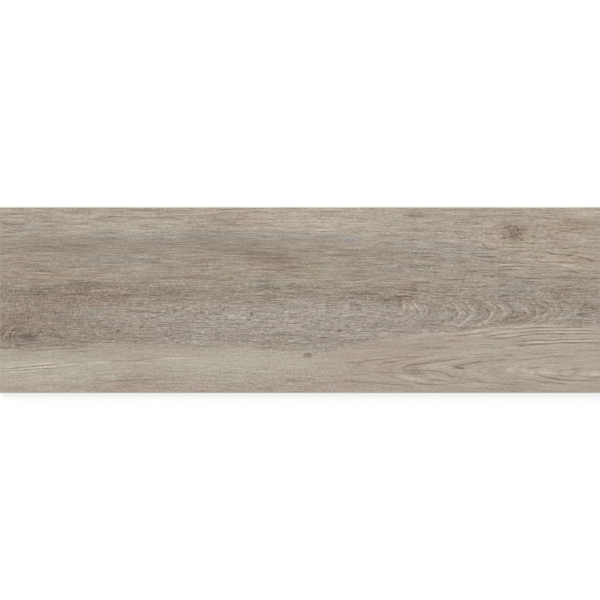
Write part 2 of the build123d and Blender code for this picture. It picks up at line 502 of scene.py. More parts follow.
    (1.0, -19, -1, [(25.2, 133.5), (28.6, 132.8), (31.6, 133.3)]),
    (0.9, -30, 1, [(37.6, 126.7), (38.8, 124.1), (41.1, 123.3), (44, 125.3), (45.9, 128.3), (46.5, 131.7)]),
    (1.2, 16, 0, [(40.2, 128.3), (42, 126.7), (42.5, 129.1)]),
    (0.8, -23, 1, [(0.8, 124.3), (2.8, 121.5), (6.3, 118.7)]),
    (0.75, -24, 1, [(2.3, 128.3), (4.8, 124.5), (8.8, 120.7), (13.7, 117.5)]),
    (0.9, -26, 0, [(10.9, 129.3), (11.3, 126.1), (13.3, 122.9), (17.1, 119.3)]),
    (0.8, -17, 0, [(15.3, 131.9), (14.7, 128.3), (16.3, 124.7), (18.7, 121.9)]),
    (0.7, 16, 0, [(6.8, 124.7), (10.1, 121.3), (14.3, 118.7)]),
    (0.8, 16, -1, [(12.7, 129.3), (13.1, 126.7), (15.3, 123.3)]),
    (0.8, -19, 1, [(16.2, 133.3), (19.2, 133.9), (21.7, 132.7)]),
    (0.9, -19, 1, [(16.3, 136.2), (17.1, 138.8), (20.7, 139.6)]),
]

# long lines of the right end, with points read off the picture, and how a point becomes a place on the face
pictureScale = {"step": 0.994, "alongStart": 0.8, "downStart": -205.7}  # mm
rightEndStrength = 1.3
rightEndLines = [
    (0.62, -26, 0, [(480, 248.5), (488, 249), (497, 249.6)]),
    (0.62, -24, 0, [(470, 253.3), (486, 253.3), (493, 253.6)]),
    (0.62, -26, 0, [(480, 256.7), (496, 256.7)]),
    (0.62, -22, 0, [(500, 256.4), (511, 255.2), (521, 254.5)]),
    (0.62, -24, 2, [(480, 261), (490, 261.7), (500, 262.1), (505, 263.6)]),
    (0.62, -22, 1, [(505, 260.6), (512, 261.5), (520, 261.3)]),
    (0.62, -20, 1, [(535, 259), (539, 261.8), (544, 263)]),
    (0.62, -20, 0, [(500, 266.6), (512, 266.4), (520, 266), (536, 266.6)]),
    (0.62, -26, 0, [(480, 270), (494, 270.6), (503, 270.6), (510, 269.5), (516, 269.6)]),
    (0.7, -26, -1, [(470, 272), (477, 271.5)]),
    (0.62, -24, 0, [(480, 276), (494, 276.3), (508, 276.6)]),
    (0.62, -22, 0, [(495, 273.3), (508, 273.9)]),
    (0.62, -22, 0, [(516, 277.5), (528, 278.6), (543, 278.7)]),
    (0.62, -22, 1, [(523, 273.4), (530, 273.7), (541, 275)]),
    (0.7, -22, -1, [(566, 270.6), (572, 271.6), (580, 271.9)]),
    (0.62, -18, 2, [(520, 257.6), (532, 257.2), (546, 258)]),
    (0.62, -20, 1, [(562, 248.6), (570, 247.4), (576, 247.8)]),
    (0.62, -20, 1, [(576, 246), (583, 247.3), (591, 248.2)]),
    (0.62, -18, 1, [(571, 252.4), (581, 253)]),
    (0.62, -18, 0, [(513, 250.9), (530, 250.7), (542, 251.4), (549, 252.6)]),
    (0.62, 20, 0, [(518, 253.3), (531, 253)]),
    (0.7, 18, 1, [(545, 256.4), (557, 257.2)]),
    (0.7, 13, 0, [(561, 265.2), (570, 265.8)]),
    (0.7, 18, 2, [(514, 268.2), (528, 269)]),
    (0.62, 18, 0, [(498, 264.5), (513, 264.5)]),
    (0.62, 16, 0, [(484, 251.2), (499, 251.6)]),
    (0.62, 16, 0, [(572, 268.6), (585, 268.8)]),
]
for halfWidth, tone, warm, points in rightEndLines:
    start = np.array((pictureScale["alongStart"], pictureScale["downStart"]))
    places = start + pictureScale["step"] * np.array(points)
    drawnLines.append((halfWidth, tone * rightEndStrength, warm, places))

lineInk = {
    "layers": 7,  # the lines are split over these
    "clearance": 4.0,  # mm kept between lines of one layer
    "edge": 1.6,  # half widths from the middle to where the ink ends
    "reach": 2.5,  # mm past the edge in which a place knows of its line
    "spill": 1.0,
    "taper": 0.15,  # share of the length at each end
    "tipInk": 0.3,
    "tipFade": 2,  # mm past the last point
    "blank": 9.0,
}

# crisp ink spots: along, down, half length, half width, tone
inkSpots = [
    (250.8, 106.4, 1.5, 1.3, -62),
    (338.8, 123.3, 2.6, 1.2, -52),
    (348, 122.6, 5, 0.9, -16),
    (309, 127.4, 1.7, 0.9, -28),
    (322, 127.4, 1.7, 0.9, -28),
    (118.5, 123, 1.6, 1.1, -40),
    # the curly knot and the pale patches beside it
    (511.7, 26.0, 11.0, 7.4, -15),
    (521.7, 23.9, 4.5, 5.0, -8),
    (501.3, 30.9, 4.0, 2.2, -9),
    (493, 25.6, 7.0, 2.4, 7),
    (486, 31.5, 7.0, 2.4, 6),
    (535, 20, 1.3, 4.4, -12),
    (529, 14, 1.2, 2.2, -12),
    # the smudged knot at the left end
    (28.4, 129.6, 7.0, 4.4, -9),
    (6.8, 129.9, 1.4, 1.0, -26),
    (36.5, 121.6, 2.4, 1.6, 16),
    # a ring knot no bigger than a lentil, dark with a paler heart
    (306.5, 147.3, 4.2, 2.2, -52),
    (306.3, 147.6, 2.6, 1.1, 30),
]

# waves in the grain, ragged rims of the patches, and frayed and shaky lines: strength, length, width, seed
faceWaves = {
    "wander": [(2.0, 95, 24, 3.1), (0.9, 38, 9, 4.4), (0.45, 15, 4, 6.6)],
    "ragged": [(2.2, 24, 5, 7.7), (1.2, 9, 2.4, 9.2)],
    "fringe": [(0.5, 18, 7, 27.0)],
    "fray": [(0.6, 7, 2, 12.5)],
    "wobble": [(0.5, 11, 3, 15.5)],
}

# where the zones of the figure fade in or out, in millimetres along or down
zoneFades = {
    "roughTop": (-7, 7),
    "sawEnd": (70, 120), "sawTop": (74, 84), "sawFoot": (106, 120),
    "faintSawStart": (80, 120), "faintSawEnd": (180, 260), "faintSawTop": (74, 80), "faintSawFoot": (92, 100),
    "mottleEnd": (300, 400),
    "middleTop": (22, 32), "middleFoot": (68, 80),
    "middleLeftEnd": (330, 480), "middleRightStart": (450, 530),
    "rearFoot": (20, 30), "rearRightStart": (480, 560),
    "hueRim": (0.7, 1.25),  # shares of a field's half size
}
zoneTones = {"rough": -3, "pale": 8}
sawPatch = {"spot": (575, 40, 26, 8), "strength": 0.5}
faintSaw = 0.4

# what each zone takes off the contrast of the grain
contrastCuts = {
    "pale": 0.52, "rough": 0.1, "saw": 0.14, "rear": 0.18, "rearRight": 0.03,
    "middleRight": 0.12, "middleLeft": 0.31, "knot": 0.42,
}

# pressed grooves follow the grain, and the pale board takes a share off them; the grooves are real relief and
# also darken the face's colour as painted shade; streak: length, width, seed
grooveGrain = {"streak": (60, 2.6, 21.0), "fade": (0.05, 0.5), "paleCut": 0.6}
ringSeed = 41.0
edgeRagged = 0.5  # share of the ragged wave on rings and on the dark board's foot
swellReach = 2.5  # half widths over which a swell dies out
farAway = 1e9


def softStep(value, low, high):
    x = np.clip((value - low) / (high - low), 0, 1)
    return x * x * (3 - 2 * x)


def fadeIn(value, zone):
    return softStep(value, *zoneFades[zone])


def fadeOut(value, zone):
    return 1 - fadeIn(value, zone)


# one between low and high, fading over the soft margin on both sides of each
def window(value, low, high, soft):
    return softStep(value, low - soft, low + soft) * (1 - softStep(value, high - soft, high + soft))


def bell(along, down, spot):
    a, d, halfLength, halfWidth = spot
    return np.exp(-((along - a) / halfLength) ** 2 - ((down - d) / halfWidth) ** 2)


def streakNoise(along, down, lengthMm, widthMm, seed):
    spots = zip(along / lengthMm, down / widthMm)
    return np.array([noise.noise((a, d, seed)) for a, d in spots])


def addWaves(along, down, name):
    return sum(strength * streakNoise(along, down, *wave) for strength, *wave in faceWaves[name])


# signed distance from a drawn line, how far along it, and how far past its ends, for the places near it
def nearLine(along, down, points, reach):
    points = np.array(points, float)
    low = points.min(0) - reach
    high = points.max(0) + reach
    near = np.flatnonzero((along > low[0]) & (along < high[0]) & (down > low[1]) & (down < high[1]))
    places = np.column_stack((along[near], down[near]))
    lengths = np.linalg.norm(np.diff(points, axis=0), axis=1)
    closest = np.full(len(near), farAway)
    gap = np.full(len(near), farAway)
    share = np.zeros(len(near))
    past = np.zeros(len(near))
    for i, (start, stretch) in enumerate(zip(points, lengths)):
        way = (points[i + 1] - start) / stretch
        offset = places - start
        free = offset @ way
        run = np.clip(free, 0, stretch)
        here = np.linalg.norm(offset - run[:, None] * way, axis=1)
        side = way[0] * offset[:, 1] - way[1] * offset[:, 0]
        over = np.zeros(len(near))
        if i == 0:
            over = np.maximum(over, -free)
        if i == len(lengths) - 1:
            over = np.maximum(over, free - stretch)
        closer = here < closest
        signed = np.where(over > 0, side, np.sign(side) * here)
        closest[closer] = here[closer]
        gap[closer] = signed[closer]
        share[closer] = (lengths[:i].sum() + run[closer]) / lengths.sum()
        past[closer] = over[closer]
    return near, gap, share, past


# lines that run close together go to different layers, so that each layer has one nearest line at every place
def sortLines(lines):
    def spread(points):
        points = np.array(points, float)
        way = np.append(0, np.cumsum(np.linalg.norm(np.diff(points, axis=0), axis=1)))
        steps = np.linspace(0, way[-1], int(way[-1] / 2) + 2)
        return np.column_stack([np.interp(steps, way, axis) for axis in points.T])

    layers = [[] for _ in range(lineInk["layers"])]
    for line in lines:
        dense = spread(line[3])
        gaps = []
        for layer in layers:
            room = [np.linalg.norm(dense[:, None] - spread(other[3]), axis=2).min() for other in layer]
            gaps.append(min(room, default=farAway))
        free = [i for i, gap in enumerate(gaps) if gap > lineInk["clearance"]]
        layers[free[0] if free else int(np.argmax(gaps))].append(line)
    return layers


def paintLines(along, down, lines, fray, wobble):
    nearest = np.full_like(along, lineInk["blank"])
    tone = np.zeros_like(along)
    warm = np.zeros_like(along)
    tip = lineInk["tipInk"]
    for halfWidth, lift, heat, points in lines:
        edge = lineInk["edge"] * halfWidth
        near, gap, share, past = nearLine(along, down, points, edge + lineInk["reach"])
        gap += wobble[near]
        ends = softStep(share, 0, lineInk["taper"]) * softStep(1 - share, 0, lineInk["taper"])
        ink = (tip + (1 - tip) * ends) * np.clip(1 - past / lineInk["tipFade"], 0, 1) * fray[near]
        ink *= np.abs(gap) < edge + lineInk["spill"]
        closer = np.abs(gap) / halfWidth < np.abs(nearest[near])
        spots = near[closer]
        nearest[spots] = gap[closer] / halfWidth
        tone[spots] = lift * ink[closer]
        warm[spots] = heat * ink[closer]
    return nearest, tone, warm


def ringFlow(along, down):
    ring = np.zeros_like(along)
    share = np.zeros_like(along)
    for figure in ringFigures:
        centreAlong, centreDown = figure["centre"]
        softAlong, softDown = figure["soft"]
        waveLength, waveWidth, waveDepth = figure["wave"]
        wave = waveDepth * streakNoise(along, down, waveLength, waveWidth, ringSeed)
        radius = np.hypot((along - centreAlong) * figure["squeeze"], down - centreDown) + wave
        here = window(along, *figure["along"], softAlong) * window(down, *figure["down"], softDown)
        here *= figure["strength"]
        inside = here > share
        ring[inside] = radius[inside] / figure["spacing"]
        share = np.maximum(share, here)
    return ring, share


# offsets from the middle of a soft patch or a hue field, in shares of its half length and half width
def patchOffsets(along, drift, patch):
    a, d, halfLength, halfWidth, rise = patch
    lean = (along - a) / halfLength
    return lean, (drift - d + rise * lean) / halfWidth


# share of each zone, where zones are the boards and the stretches of the figure that are drawn apart
def paintZones(along, down, ragged):
    top = np.interp(along, *zip(*darkBoardTop))
    edge = np.interp(along, *zip(*darkBoardEdge))
    soft = np.interp(along, *zip(*darkBoardBlur))
    pale = softStep((down - edge + edgeRagged * ragged) / soft, -1, 1)
    rough = fadeIn(down - top + ragged, "roughTop") * (1 - pale)
    saw = fadeOut(along, "sawEnd") * fadeIn(down, "sawTop") * fadeOut(down, "sawFoot")
    faint = fadeIn(along, "faintSawStart") * fadeOut(along, "faintSawEnd")
    saw += faintSaw * faint * fadeIn(down, "faintSawTop") * fadeOut(down, "faintSawFoot")
    saw += sawPatch["strength"] * bell(along, down, sawPatch["spot"])
    return pale, rough, saw


def paintContrast(along, down, pale, rough, saw):
    cut = contrastCuts
    rear = fadeOut(down, "rearFoot")
    middle = fadeIn(down, "middleTop") * fadeOut(down, "middleFoot")
    contrast = 1 - cut["pale"] * pale - cut["rough"] * rough - cut["saw"] * saw
    contrast -= rear * (cut["rear"] + cut["rearRight"] * fadeIn(along, "rearRightStart"))
    contrast -= middle * cut["middleRight"] * fadeIn(along, "middleRightStart")
    contrast -= middle * cut["middleLeft"] * fadeOut(along, "middleLeftEnd")
    for heart in knotHearts:
        contrast -= cut["knot"] * bell(along, down, heart[:4])
    return contrast


def paintFace(along, down):
    wander = addWaves(along, down, "wander")
    ragged = addWaves(along, down, "ragged")
    fringe = addWaves(along, down, "fringe")
    flowDown = down + wander
    for a, d, halfLength, halfWidth, swell in grainSwells:
        reach = bell(along, down, (a, d, halfLength, swellReach * halfWidth))
        flowDown -= swell * reach * np.tanh((down - d) / halfWidth)
    for a, d, halfLength, halfWidth, drop in grainLeans:
        flowDown -= drop * np.tanh((along - a) / halfLength) * np.exp(-((down - d) / halfWidth) ** 2)

    pale, rough, saw = paintZones(along, down, ragged)
    tone = zoneTones["rough"] * rough + zoneTones["pale"] * pale
    warm = np.zeros_like(tone)
    green = np.zeros_like(tone)
    drift = down + wander + ragged
    for *patch, lift in softPatches:
        lean, offset = patchOffsets(along, drift, patch)
        tone += lift * np.exp(-lean ** 2 - offset ** 2)
    for *patch, heat, leaf in hueFields:
        lean, offset = patchOffsets(along, drift, patch)
        field = fadeOut(np.hypot(lean, offset) + fringe, "hueRim")
        warm += heat * field
        green += leaf * field

    groove = softStep(streakNoise(along, flowDown, *grooveGrain["streak"]), *grooveGrain["fade"])
    groove *= 1 - grooveGrain["paleCut"] * pale
    mottle = pale * fadeOut(along, "mottleEnd")
    contrast = paintContrast(along, down, pale, rough, saw)
    ring, ringShare = ringFlow(along, down + edgeRagged * ragged)
    columns = {
        "grainFlow": (along, flowDown, ring),
        "figureZone": (ringShare, contrast, groove),
        "printTone": (tone, warm, green),
        "boardZone": (rough, saw, mottle),
    }
    fray = 1 + addWaves(along, down, "fray")
    wobble = addWaves(along, down, "wobble")
    for i, lines in enumerate(sortLines(drawnLines)):
        columns["inkLines%d" % i] = paintLines(along, down, lines, fray, wobble)
    return columns


# the tile: the solid's own sides and back, with a fine grid laid into its face
tileMesh = {
    "name": "wood_look_tile",
    "stepsAlong": 440,
    "stepsAcross": 210,
    # columns and rows stand closer where the figure is fine: share of the steps, share of the way
    "crowdingAlong": [(0, 0), (0.14, 0.105), (0.52, 0.645), (1, 1)],
    "crowdingAcross": [(0, 0), (0.62, 0.545), (0.78, 0.77), (1, 1)],
    "grainDepth": 0.16 * mm,
    "upright": 0.999,  # rise of a normal above which a face looks up
    "flush": 0.01 * mm,
    "level": 0.001 * mm,
    "mergeSolid": 0.001 * mm,
    "mergeGrid": 0.02 * mm,
    "backTop": 1.0 * mm,  # faces below this belong to the back
}


def isTop(face):
    height = face.calc_center_median().z
    return face.normal.z > tileMesh["upright"] and height > tileHigh.z - tileMesh["flush"]


def crowd(place, half, crowding):
    share = (place / half + 1) / 2
    return (2 * np.interp(share, *zip(*crowding)) - 1) * half


def layFaceGrid(bm):
    bmesh.ops.delete(bm, geom=[f for f in bm.faces if isTop(f)], context="FACES")
    rim = [e for e in bm.edges if e.is_boundary]
    longRim = [e for e in rim if abs(e.verts[0].co.x - e.verts[1].co.x) > tileMesh["level"]]
    endRim = [e for e in rim if e not in longRim]
    halfLength = max(v.co.x for e in rim for v in e.verts)
    halfWidth = max(v.co.y for e in rim for v in e.verts)
    bmesh.ops.subdivide_edges(bm, edges=longRim, cuts=tileMesh["stepsAlong"] - 1)
    bmesh.ops.subdivide_edges(bm, edges=endRim, cuts=tileMesh["stepsAcross"] - 1)
    place = Matrix.Translation((0, 0, tileHigh.z)) @ Matrix.Diagonal((halfLength, halfWidth, 1, 1))
    bmesh.ops.create_grid(
        bm, x_segments=tileMesh["stepsAlong"], y_segments=tileMesh["stepsAcross"], size=1, matrix=place
    )
    bmesh.ops.remove_doubles(bm, verts=bm.verts, dist=tileMesh["mergeGrid"])
    for v in bm.verts:
        if v.co.z > tileHigh.z - tileMesh["level"]:
            v.co.x = crowd(v.co.x, halfLength, tileMesh["crowdingAlong"])
            v.co.y = crowd(v.co.y, halfWidth, tileMesh["crowdingAcross"])
    return halfLength, halfWidth


def buildTile():
    bm = bmesh.new()
    bm.from_mesh(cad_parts["porcelain_tile"].data)
    bmesh.ops.remove_doubles(bm, verts=bm.verts, dist=tileMesh["mergeSolid"])
    halfLength, halfWidth = layFaceGrid(bm)
    bm.normal_update()
    for f in bm.faces:
        f.smooth = isTop(f)
        f.material_index = 0 if f.smooth else 2 if f.calc_center_median().z < tileMesh["backTop"] else 1
    mesh = bpy.data.meshes.new(tileMesh["name"])
    bm.to_mesh(mesh)
    bm.free()
    return mesh, halfLength, halfWidth


def writeAttribute(mesh, name, columns):
    made = mesh.attributes.new(name, "FLOAT_VECTOR", "POINT")
    made.data.foreach_set("vector", np.column_stack(columns).astype(np.float32).ravel())


# one map for the whole tile, in strips between two heights, with most of it for the finely figured face
mapStrips = {
    "face": (0.385, 0.998),
    "back": (0.002, 0.300),
    "front": (0.306, 0.322),
    "rear": (0.327, 0.343),
    "ends": (0.348, 0.364),
}
mapSpread = {"margin": 0.002, "endWidth": 0.3, "leftEnd": 0.05, "rightEnd": 0.4}


def mapTile(mesh, spots):
    count = len(mesh.polygons)
    normals = np.empty(count * 3)
    slots = np.empty(count, int)
    sizes = np.empty(count, int)
    corners = np.empty(len(mesh.loops), int)
    mesh.polygons.foreach_get("normal", normals)
    mesh.polygons.foreach_get("material_index", slots)
    mesh.polygons.foreach_get("loop_total", sizes)
    mesh.loops.foreach_get("vertex_index", corners)
    normals = np.repeat(normals.reshape(-1, 3), sizes, axis=0)
    slots = np.repeat(slots, sizes)
    shareX, shareY, shareZ = ((spots - tileLow) / (tileHigh - tileLow))[corners].T
    onEnd = (slots == 1) & (np.abs(normals[:, 0]) > np.abs(normals[:, 1]))
    onLong = (slots == 1) & ~onEnd
    u = mapSpread["margin"] + (1 - 2 * mapSpread["margin"]) * shareX
    u[onEnd] = np.where(normals[onEnd, 0] > 0, mapSpread["rightEnd"], mapSpread["leftEnd"])
    u[onEnd] += mapSpread["endWidth"] * shareY[onEnd]
    v = np.empty(len(corners))
    for mask, share, strip in (
        (slots == 0, shareY, "face"),
        (slots == 2, shareY, "back"),
        (onLong & (normals[:, 1] < 0), shareZ, "front"),
        (onLong & (normals[:, 1] >= 0), shareZ, "rear"),
        (onEnd, shareZ, "ends"),
    ):
        low, high = mapStrips[strip]
        v[mask] = low + (high - low) * share[mask]
    layer = mesh.uv_layers.new(name="OFBake")
    layer.data.foreach_set("uv", np.column_stack((u, v)).astype(np.float32).ravel())


mesh, faceHalfLength, faceHalfWidth = buildTile()
spots = np.empty(len(mesh.vertices) * 3)
mesh.vertices.foreach_get("co", spots)
spots = spots.reshape(-1, 3)
mapTile(mesh, spots)
along = (spots[:, 0] - tileLow.x) / mm
down = (tileHigh.y - spots[:, 1]) / mm
painted = paintFace(along, down)
for attributeName, columns in painted.items():
    writeAttribute(mesh, attributeName, columns)
groove = painted["figureZone"][2]

onFace = spots[:, 2] > tileHigh.z - tileMesh["level"]
inside = np.abs(spots[:, 0]) < faceHalfLength - tileMesh["flush"]
inside &= np.abs(spots[:, 1]) < faceHalfWidth - tileMesh["flush"]
spots[:, 2] -= tileMesh["grainDepth"] * groove * (onFace & inside)
mesh.vertices.foreach_set("co", spots.ravel())
mesh.update()
tile = bpy.data.objects.new(tileMesh["name"], mesh)
bpy.context.scene.collection.objects.link(tile)
triangles = sum(len(p.vertices) - 2 for p in mesh.polygons)
print("tile mesh:", len(mesh.vertices), "vertices,", triangles, "triangles")

pictureSteps = 255
displayGamma = 2.2
noiseMiddle = 0.5


def startMaterial(name):
    material = bpy.data.materials.new(name)
    material.use_nodes = True
    return material, material.node_tree


def addNode(tree, kind, **values):
    node = tree.nodes.new(kind)
    for key, value in values.items():
        if key in node.inputs:
            node.inputs[key].default_value = value
        else:
            setattr(node, key, value)
    return node


def addMath(tree, operation, first, second):
    node = addNode(tree, "ShaderNodeMath", operation=operation)
    for socket, value in zip(node.inputs, (first, second)):
        if isinstance(value, (int, float)):
            socket.default_value = value
        else:
            tree.links.new(value, socket)
    return node.outputs[0]


def addSum(tree, values):
    total = values[0]
    for value in values[1:]:
        total = addMath(tree, "ADD", total, value)
    return total


def addFade(tree, value, begin, full, low=0.0, high=1.0):
    fade = addNode(tree, "ShaderNodeMapRange", interpolation_type="SMOOTHSTEP")
    for key, number in (("From Min", begin), ("From Max", full), ("To Min", low), ("To Max", high)):
        fade.inputs[key].default_value = number
    tree.links.new(value, fade.inputs["Value"])
    return fade.outputs[0]


# three channels as a picture shows them, from zero to one, to the shader's base colour
def addBaseColour(tree, channels):
    joined = addNode(tree, "ShaderNodeCombineColor")
    for channel, socket in zip(channels, joined.inputs):
        tree.links.new(channel, socket)
    gamma = addNode(tree, "ShaderNodeGamma", Gamma=displayGamma)
    tree.links.new(joined.outputs[0], gamma.inputs["Color"])
    tree.links.new(gamma.outputs[0], tree.nodes["Principled BSDF"].inputs["Base Color"])


# one layer of streaks in the print: noise stretched along the grain, centred on zero
def makeStreakGroup():
    group = bpy.data.node_groups.new("grainStreaks", "ShaderNodeTree")
    face = group.interface
    face.new_socket("Flow", in_out="INPUT", socket_type="NodeSocketVector")
    for name in ("Length", "Width", "Seed", "Detail"):
        face.new_socket(name, in_out="INPUT", socket_type="NodeSocketFloat")
    face.new_socket("Value", in_out="OUTPUT", socket_type="NodeSocketFloat")
    start = addNode(group, "NodeGroupInput")
    end = addNode(group, "NodeGroupOutput")
    split = addNode(group, "ShaderNodeSeparateXYZ")
    group.links.new(start.outputs["Flow"], split.inputs[0])
    joined = addNode(group, "ShaderNodeCombineXYZ")
    group.links.new(addMath(group, "DIVIDE", split.outputs[0], start.outputs["Length"]), joined.inputs[0])
    group.links.new(addMath(group, "DIVIDE", split.outputs[1], start.outputs["Width"]), joined.inputs[1])
    group.links.new(start.outputs["Seed"], joined.inputs[2])
    cloud = addNode(group, "ShaderNodeTexNoise", Scale=1.0, Roughness=0.55)
    group.links.new(joined.outputs[0], cloud.inputs["Vector"])
    group.links.new(start.outputs["Detail"], cloud.inputs["Detail"])
    group.links.new(addMath(group, "SUBTRACT", cloud.outputs[0], noiseMiddle), end.inputs[0])
    return group


streakGroup = makeStreakGroup()


def addStreaks(tree, flow, layer):
    lengthMm, widthMm, seed, detail, strength = layer
    node = addNode(tree, "ShaderNodeGroup", node_tree=streakGroup)
    for key, value in zip(("Length", "Width", "Seed", "Detail"), (lengthMm, widthMm, seed, detail)):
        node.inputs[key].default_value = value
    tree.links.new(flow, node.inputs["Flow"])
    return addMath(tree, "MULTIPLY", node.outputs[0], strength)


spotRim = (1.4, 0.5)  # half sizes at which a spot of ink ends and is full


# one spot of ink: an ellipse on the face that fades at its rim
def addInkSpot(tree, place, spot):
    along, down, halfLength, halfWidth, tone = spot
    centre = (tileLow.x + along * mm, tileHigh.y - down * mm, 0)
    offset = addNode(tree, "ShaderNodeVectorMath", operation="SUBTRACT")
    offset.inputs[1].default_value = centre
    tree.links.new(place, offset.inputs[0])
    shape = addNode(tree, "ShaderNodeVectorMath", operation="MULTIPLY")
    shape.inputs[1].default_value = (1 / (halfLength * mm), 1 / (halfWidth * mm), 0)
    tree.links.new(offset.outputs[0], shape.inputs[0])
    reach = addNode(tree, "ShaderNodeVectorMath", operation="LENGTH")
    tree.links.new(shape.outputs[0], reach.inputs[0])
    return addFade(tree, reach.outputs["Value"], *spotRim, high=tone)


printedFace = {
    "middleColour": (159, 147.3, 133),  # 8 bit picture steps
    # length, width, seed, detail, strength
    "boardStreaks": (150, 6, 1.0, 2.0, 18),
    "bands": (80, 3.4, 3.0, 2.0, 26),
    "growthLines": (31, 1.12, 2.0, 0.6, 90),
    "strands": (13, 1.08, 37.0, 0.5, 58),
    "ringLines": (45, 0.85, 23.0, 1.0, 112),
    "fibres": (4.0, 1.0, 5.0, 0.6, 60),
    "grit": (2.1, 1.0, 33.0, 0.0, 54),
    "pores": (15, 1.1, 27.0, 0.5, 240),
    "dashes": (6.0, 1.0, 8.0, 0.5, 66),
    "sawMarks": (1.9, 5.0, 11.0, 0.0, 46),
    "speckle": (2.6, 1.0, 14.0, 0.5, 34),
    "knotSpeckle": (2.7 * mm, 2.2 * mm, 31.0, 1.0, 110),
    "warmth": (60, 5.0, 17.0, 2.0, 11),
    "greenness": (30, 5.0, 19.0, 2.0, 11),
    "poreStart": 0.12,
    # shares that one layer leaves out or adds where another is drawn
    "ringClearing": 0.75,
    "roughCalm": 0.25,
    "sawClearing": 0.3,
    "gritOnMottle": 0.2,
    "gritOnRough": 0.25,
    "fibreWarmth": -0.055,  # dark fibres are browner
    # painted shade: tone steps taken off the colour in the pressed grooves
    "groovePaintedShade": 5,
    "roughness": 0.55,
    "grooveRoughness": 0.12,
    "glossClouds": (60, 14, 51.0, 2.0, 0.16),
    "bumpStrength": 0.25,
    "bumpDepth": 0.05 * mm,
    "bumpShare": 0.05,  # height of the bump for each step of tone
}


def readAttribute(tree, name):
    node = addNode(tree, "ShaderNodeAttribute", attribute_name=name)
    parts = addNode(tree, "ShaderNodeSeparateXYZ")
    tree.links.new(node.outputs["Vector"], parts.inputs[0])
    return node.outputs["Vector"], parts.outputs


def makePrintedFace():
    look = printedFace
    material, tree = startMaterial("printedFace")
    shader = tree.nodes["Principled BSDF"]
    flow, (along, flowDown, ring) = readAttribute(tree, "grainFlow")
    ringShare, contrast, groove = readAttribute(tree, "figureZone")[1]
    paintedTone, paintedWarm, paintedGreen = readAttribute(tree, "printTone")[1]
    rough, saw, mottle = readAttribute(tree, "boardZone")[1]
    place = addNode(tree, "ShaderNodeTexCoord").outputs["Object"]
    rings = addNode(tree, "ShaderNodeCombineXYZ")
    tree.links.new(along, rings.inputs[0])
    tree.links.new(ring, rings.inputs[1])

    def weigh(value, weight):
        return addMath(tree, "MULTIPLY", value, weight)

    def without(mask, share):
        return addMath(tree, "SUBTRACT", 1.0, weigh(mask, share))

    straight = without(ringShare, look["ringClearing"])
    lines = weigh(addStreaks(tree, flow, look["growthLines"]), straight)
    lines = weigh(lines, without(rough, look["roughCalm"]))
    ringLines = weigh(addStreaks(tree, rings.outputs[0], look["ringLines"]), ringShare)
    strands = weigh(addStreaks(tree, flow, look["strands"]), straight)
    fibres = addStreaks(tree, flow, look["fibres"])
    poreLength, poreWidth, poreSeed, poreDetail, poreStrength = look["pores"]
    pores = addStreaks(tree, flow, (poreLength, poreWidth, poreSeed, poreDetail, 1.0))
    pores = addMath(tree, "MAXIMUM", addMath(tree, "SUBTRACT", pores, look["poreStart"]), 0.0)
    knots = addSum(tree, [addInkSpot(tree, place, spot) for spot in knotHearts])
    fine = addSum(tree, [
        addStreaks(tree, flow, look["boardStreaks"]),
        weigh(addStreaks(tree, flow, look["bands"]), straight),
        lines,
        strands,
        fibres,
        weigh(weigh(pores, contrast), -poreStrength),
    ])
    moreGrit = [weigh(mottle, look["gritOnMottle"]), weigh(rough, look["gritOnRough"])]
    gritShare = addSum(tree, [contrast, *moreGrit])
    dashes = weigh(weigh(addStreaks(tree, flow, look["dashes"]), rough), straight)
    layers = [
        paintedTone,
        weigh(fine, contrast),
        weigh(addStreaks(tree, flow, look["grit"]), gritShare),
        ringLines,
        weigh(dashes, without(saw, look["sawClearing"])),
        weigh(addStreaks(tree, flow, look["sawMarks"]), saw),
        weigh(addStreaks(tree, flow, look["speckle"]), mottle),
        weigh(addStreaks(tree, place, look["knotSpeckle"]), knots),
        # painted shade in the pressed grooves
        weigh(groove, -look["groovePaintedShade"]),
    ]
    layers += [addInkSpot(tree, place, spot) for spot in inkSpots]
    warmLayers = [paintedWarm, addStreaks(tree, flow, look["warmth"]), weigh(fine, look["fibreWarmth"])]
    for i in range(lineInk["layers"]):
        gap, lineTone, lineWarm = readAttribute(tree, "inkLines%d" % i)[1]
        ink = addFade(tree, addMath(tree, "ABSOLUTE", gap, 0.0), lineInk["edge"], 0.0)
        layers.append(weigh(lineTone, ink))
        warmLayers.append(weigh(lineWarm, ink))
    tone = addSum(tree, layers)
    warmth = addSum(tree, warmLayers)
    greenness = addMath(tree, "ADD", paintedGreen, addStreaks(tree, flow, look["greenness"]))
    halfWarm = weigh(warmth, 0.5)
    red, green, blue = look["middleColour"]
    channels = [
        addSum(tree, [tone, halfWarm, red]),
        addSum(tree, [tone, greenness, green]),
        addMath(tree, "SUBTRACT", addSum(tree, [tone, blue]), halfWarm),
    ]
    addBaseColour(tree, [addMath(tree, "DIVIDE", channel, pictureSteps) for channel in channels])
    gloss = [
        weigh(groove, look["grooveRoughness"]),
        addStreaks(tree, flow, look["glossClouds"]),
        look["roughness"],
    ]
    tree.links.new(addSum(tree, gloss), shader.inputs["Roughness"])
    bump = addNode(tree, "ShaderNodeBump", Strength=look["bumpStrength"], Distance=look["bumpDepth"])
    tree.links.new(weigh(addSum(tree, [lines, fibres]), look["bumpShare"]), bump.inputs["Height"])
    tree.links.new(bump.outputs[0], shader.inputs["Normal"])
    return material


firedBody = {
    "grainSize": 0.7 * mm,
    "grainTone": 48,
    "cloudSize": 38 * mm,
    "cloudTone": 30,
    "speckSpacing": 2.4 * mm,
    "speckRim": (0.22, 0.08),
    "speckTone": -24.0,
    "bumpStrength": 0.3,
    "bumpDepth": 0.1 * mm,
}


